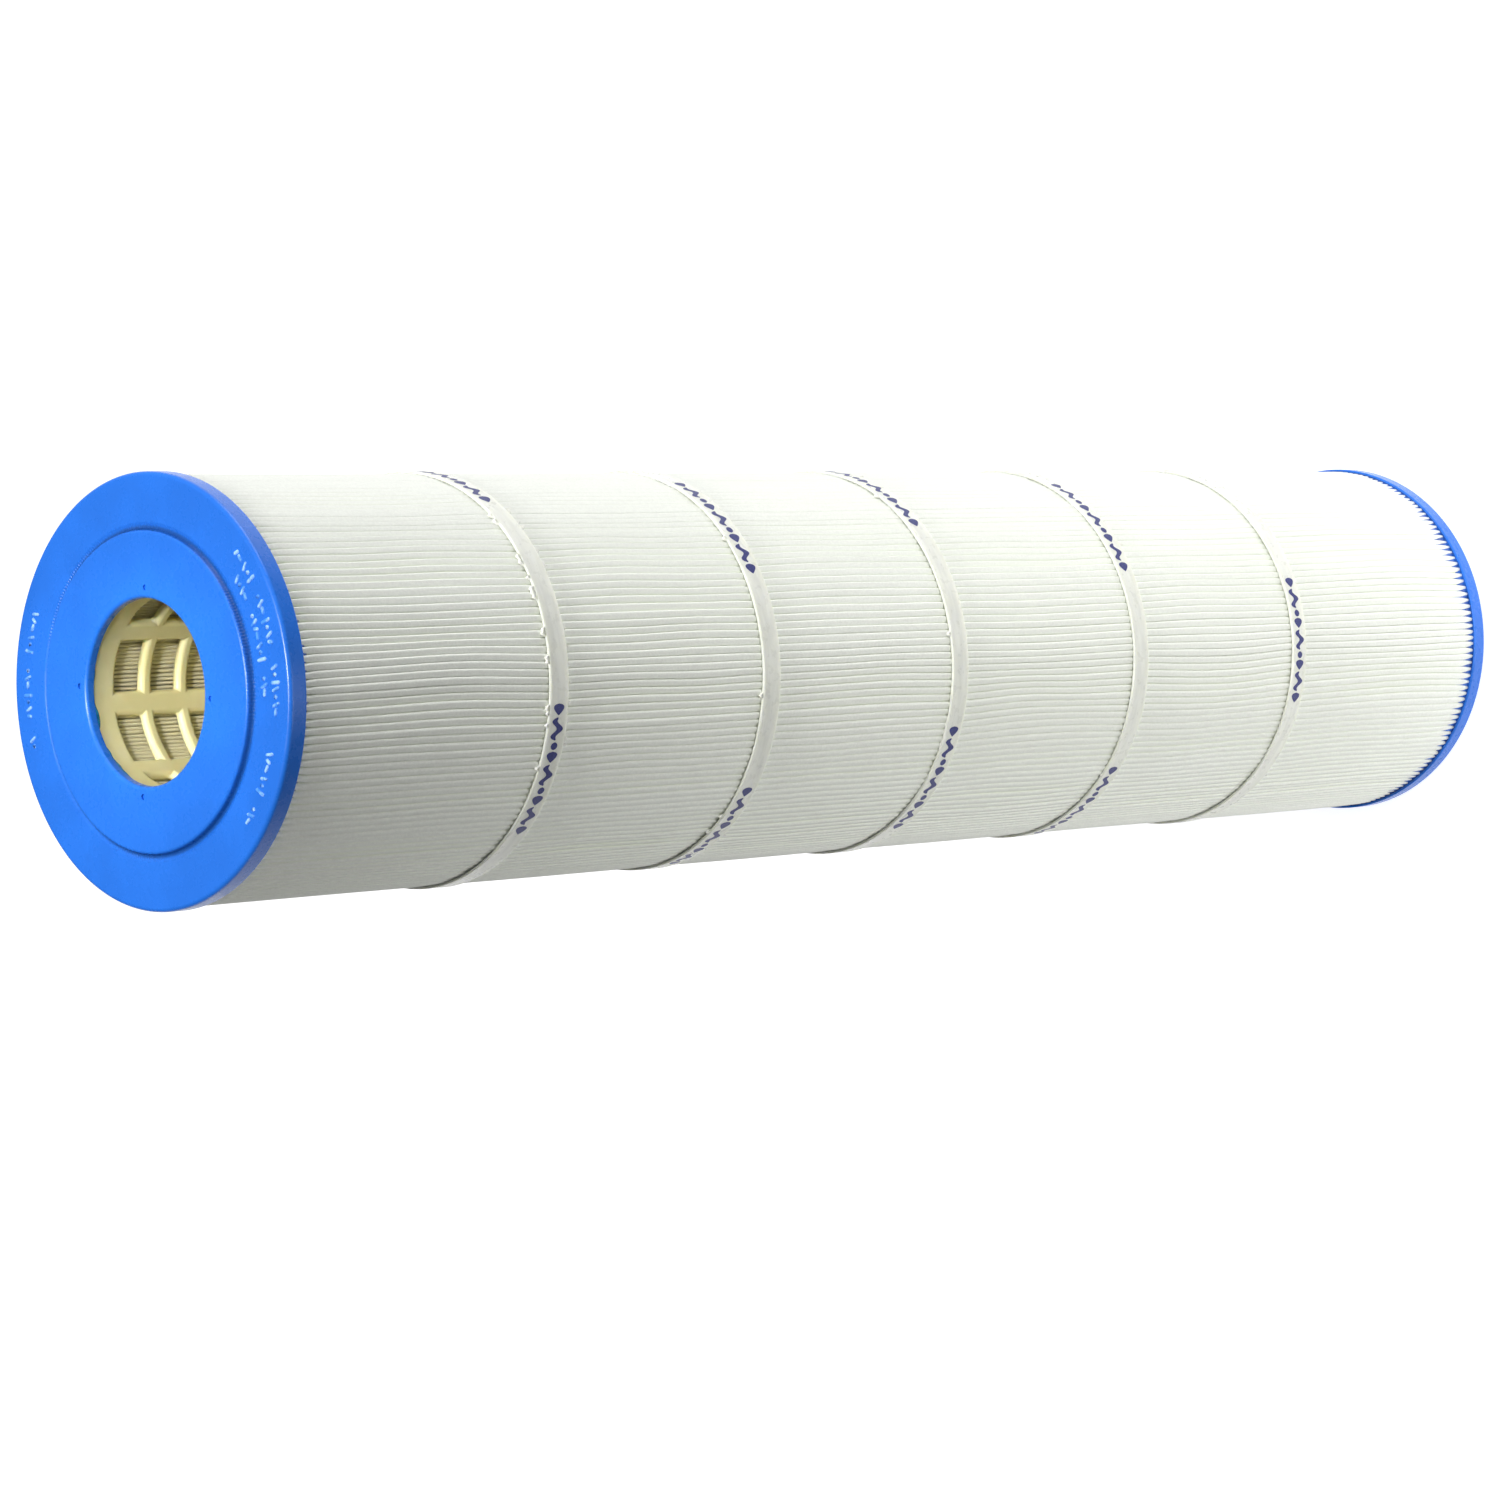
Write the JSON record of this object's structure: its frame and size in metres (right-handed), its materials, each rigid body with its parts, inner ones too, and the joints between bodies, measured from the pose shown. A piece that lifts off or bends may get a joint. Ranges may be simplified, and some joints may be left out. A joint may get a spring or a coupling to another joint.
{
  "type": "filter cartridge",
  "caption": "Long round pleated filter cartridge with open plastic end caps, a windowed plastic core and straps round the pleats.",
  "frame": {"origin": "centre of the lower end cap's raised face, the face the cartridge stands on", "axes": "+Z along the cartridge's axis towards the other end cap; +X and +Y across it, 3.5 degrees from the lines through the pin marks on the caps"},
  "size_m": [0.178, 0.178, 0.8],
  "materials": {
    "cap_plastic": "semi-gloss moulded blue plastic",
    "potting_resin": "glossy cast blue resin",
    "core_plastic": "satin moulded cream plastic",
    "media_fabric": "matte spun-bonded polyester",
    "band_plastic": "satin translucent white strap with a printed pattern",
    "hot_melt": "glossy cream hot-melt adhesive"
  },
  "bodies": {
    "root": {"end_cap_top": "cap_plastic", "end_cap_bottom": "cap_plastic", "potting_resin_top": "potting_resin", "potting_resin_bottom": "potting_resin", "core_section_1": "core_plastic", "core_section_2": "core_plastic", "core_section_3": "core_plastic", "core_section_4": "core_plastic", "core_section_5": "core_plastic", "core_section_6": "core_plastic", "pleated_media": "media_fabric", "media_seam": "hot_melt", "band_1": "band_plastic", "band_2": "band_plastic", "band_3": "band_plastic", "band_4": "band_plastic", "band_5": "band_plastic", "band_adhesive_1": "hot_melt", "band_adhesive_2": "hot_melt", "band_adhesive_3": "hot_melt", "band_adhesive_4": "hot_melt", "band_adhesive_5": "hot_melt"}
  },
  "joints": []
}
